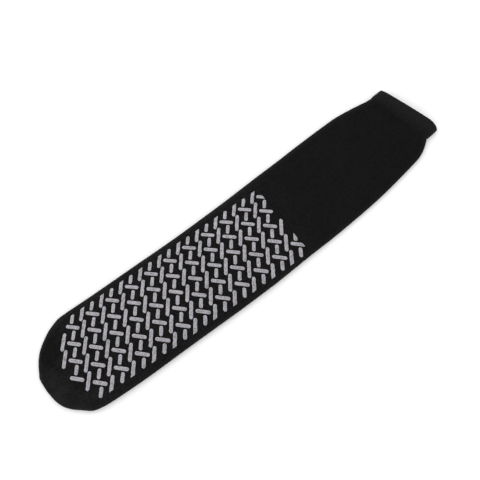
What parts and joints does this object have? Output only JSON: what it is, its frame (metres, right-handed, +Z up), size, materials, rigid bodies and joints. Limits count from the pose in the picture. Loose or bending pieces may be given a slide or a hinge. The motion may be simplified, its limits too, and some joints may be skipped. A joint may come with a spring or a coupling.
{
  "type": "slipper sock",
  "caption": "Heel-less terry-knit slipper sock with a turned welt and a raised non-slip dash tread printed on both faces, lying slack and flat on its sole.",
  "frame": {"origin": "middle of the outline seen from above, on the floor under the sole's tread", "axes": "+X from the toe to the mouth, +Y to the sock's left as it lies, +Z up through the instep face"},
  "size_m": [0.4483, 0.0974, 0.0212],
  "materials": {
    "black_terry_knit": "matt black terry knit, fine plain face outside and short loops inside",
    "black_rib_welt": "matt black rib, turned double, a shade lighter than the knit",
    "grey_raised_print": "matt pale grey raised non-slip print with a grainy top"
  },
  "bodies": {
    "root": {"knit_upper": "black_terry_knit", "cuff_welt": "black_rib_welt", "sole_tread": "grey_raised_print", "instep_tread": "grey_raised_print"}
  },
  "joints": []
}
